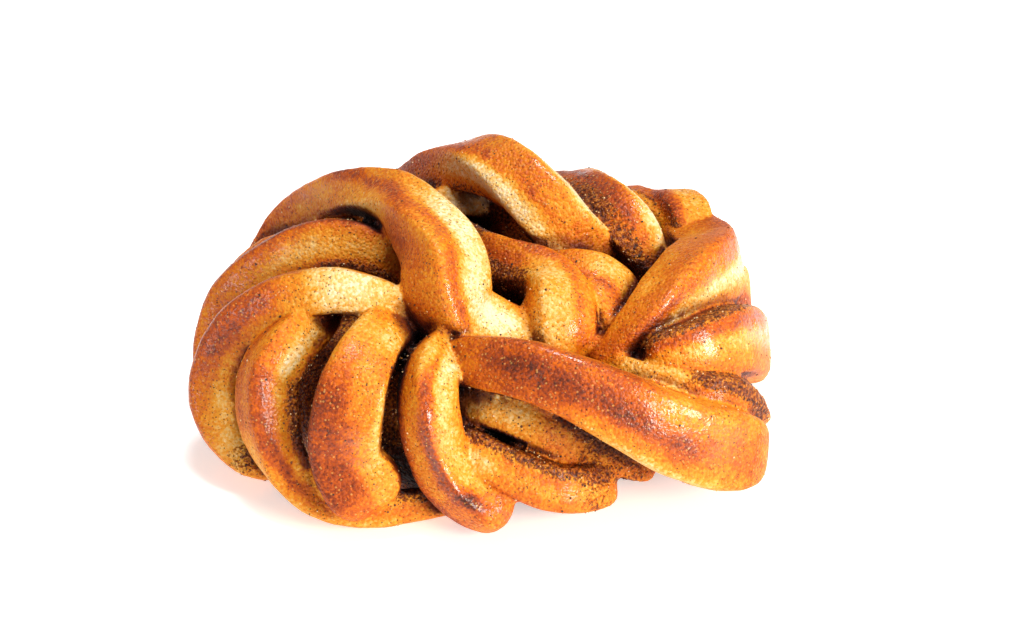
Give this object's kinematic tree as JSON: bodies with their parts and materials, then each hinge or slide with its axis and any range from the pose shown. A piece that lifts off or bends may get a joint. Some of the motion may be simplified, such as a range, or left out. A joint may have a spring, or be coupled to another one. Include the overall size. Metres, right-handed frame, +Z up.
{
  "type": "cardamom knot",
  "caption": "Baked sweet wheat bun of filled dough strands wound into an oval knot, with a spice filling showing on the cut sides and a flat underside.",
  "frame": {"origin": "middle of the loaf's outline, on the flat underside it baked on", "axes": "+Z up, +X along the loaf's long way, +Y from the front, where the crossing strand lies, to the back"},
  "size_m": [0.1106, 0.1006, 0.0465],
  "materials": {
    "baked_dough": "satin baked crust, glossy on the raised ridges"
  },
  "bodies": {
    "root": {"cardamom_knot": "baked_dough"}
  },
  "joints": []
}
